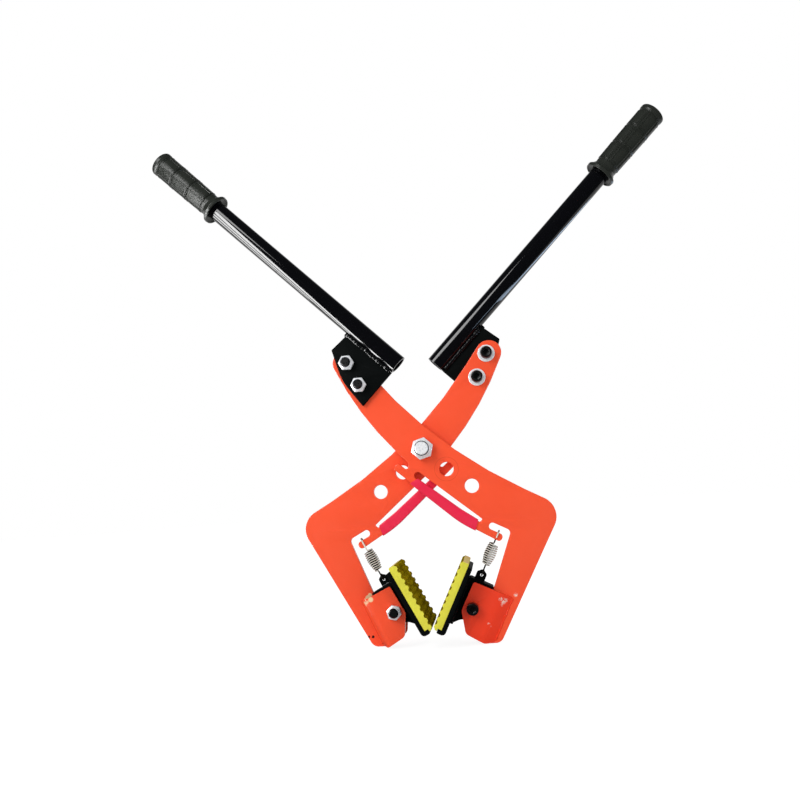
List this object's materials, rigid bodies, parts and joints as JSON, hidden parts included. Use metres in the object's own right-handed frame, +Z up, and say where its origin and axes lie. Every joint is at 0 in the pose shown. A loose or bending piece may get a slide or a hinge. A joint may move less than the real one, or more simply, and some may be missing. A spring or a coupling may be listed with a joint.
{
  "type": "stone carrying clamp",
  "caption": "Two-handled scissor clamp for carrying kerbs and stone slabs, with crossed lever arms, gripped tube handles and spring-held ribbed rubber jaws.",
  "frame": {"origin": "on the main pivot's axis, midway between the two lever arms", "axes": "+Z up towards the handles, -Y the front face with the pivot nut, +X to the right seen from the front, the side of the front arm's jaw"},
  "size_m": [0.7364, 0.1, 0.7264],
  "materials": {
    "orange_paint": "gloss",
    "black_gloss": "gloss",
    "zinc": "satin",
    "black_oxide": "satin",
    "spring_steel": "satin",
    "grip_rubber": "matte",
    "red_rubber": "satin",
    "yellow_rubber": "matte"
  },
  "bodies": {
    "front_lever": {"front_arm": "orange_paint", "front_outer_cheek": "orange_paint", "front_inner_cheek": "orange_paint", "front_handle_bracket": "black_gloss", "front_handle_tube": "black_gloss", "front_handle_grip": "grip_rubber", "front_upper_handle_bolt": "black_oxide", "front_lower_handle_bolt": "black_oxide", "front_upper_handle_washer": "zinc", "front_lower_handle_washer": "zinc", "front_upper_handle_nut": "zinc", "front_lower_handle_nut": "zinc", "front_sleeve": "red_rubber", "front_spring": "spring_steel", "front_jaw_bolt": "black_oxide", "front_jaw_nut": "zinc", "pivot_bolt": "zinc", "pivot_nut": "zinc", "pivot_spacer": "zinc"},
    "rear_lever": {"rear_arm": "orange_paint", "rear_outer_cheek": "orange_paint", "rear_inner_cheek": "orange_paint", "rear_handle_bracket": "black_gloss", "rear_handle_tube": "black_gloss", "rear_handle_grip": "grip_rubber", "rear_upper_handle_bolt": "black_oxide", "rear_lower_handle_bolt": "black_oxide", "rear_upper_handle_washer": "zinc", "rear_lower_handle_washer": "zinc", "rear_upper_handle_nut": "zinc", "rear_lower_handle_nut": "zinc", "rear_sleeve": "red_rubber", "rear_spring": "spring_steel", "rear_jaw_bolt": "black_oxide", "rear_jaw_nut": "zinc"},
    "front_jaw": {"front_jaw_plate": "black_gloss", "front_jaw_lug": "black_gloss", "front_spring_eye": "black_gloss", "front_jaw_pad": "yellow_rubber"},
    "rear_jaw": {"rear_jaw_plate": "black_gloss", "rear_jaw_lug": "black_gloss", "rear_spring_eye": "black_gloss", "rear_jaw_pad": "yellow_rubber"}
  },
  "joints": [
    {"name": "main_pivot", "type": "hinge", "parent": "front_lever", "child": "rear_lever", "pos_m": [0, 0, 0], "axis": [0, 1, 0], "range_deg": [0, 56]},
    {"name": "front_jaw_swivel", "type": "hinge", "parent": "front_lever", "child": "front_jaw", "pos_m": [0.0525, 0, -0.2167], "axis": [0, -1, 0], "range_deg": [0, 28], "stiffness_Nm_per_rad": 4.5, "springref_deg": -4.58, "deforming": ["front_spring"]},
    {"name": "rear_jaw_swivel", "type": "hinge", "parent": "rear_lever", "child": "rear_jaw", "pos_m": [-0.0525, 0, -0.2167], "axis": [0, 1, 0], "range_deg": [0, 28], "stiffness_Nm_per_rad": 4.5, "springref_deg": -4.58, "deforming": ["rear_spring"]}
  ]
}
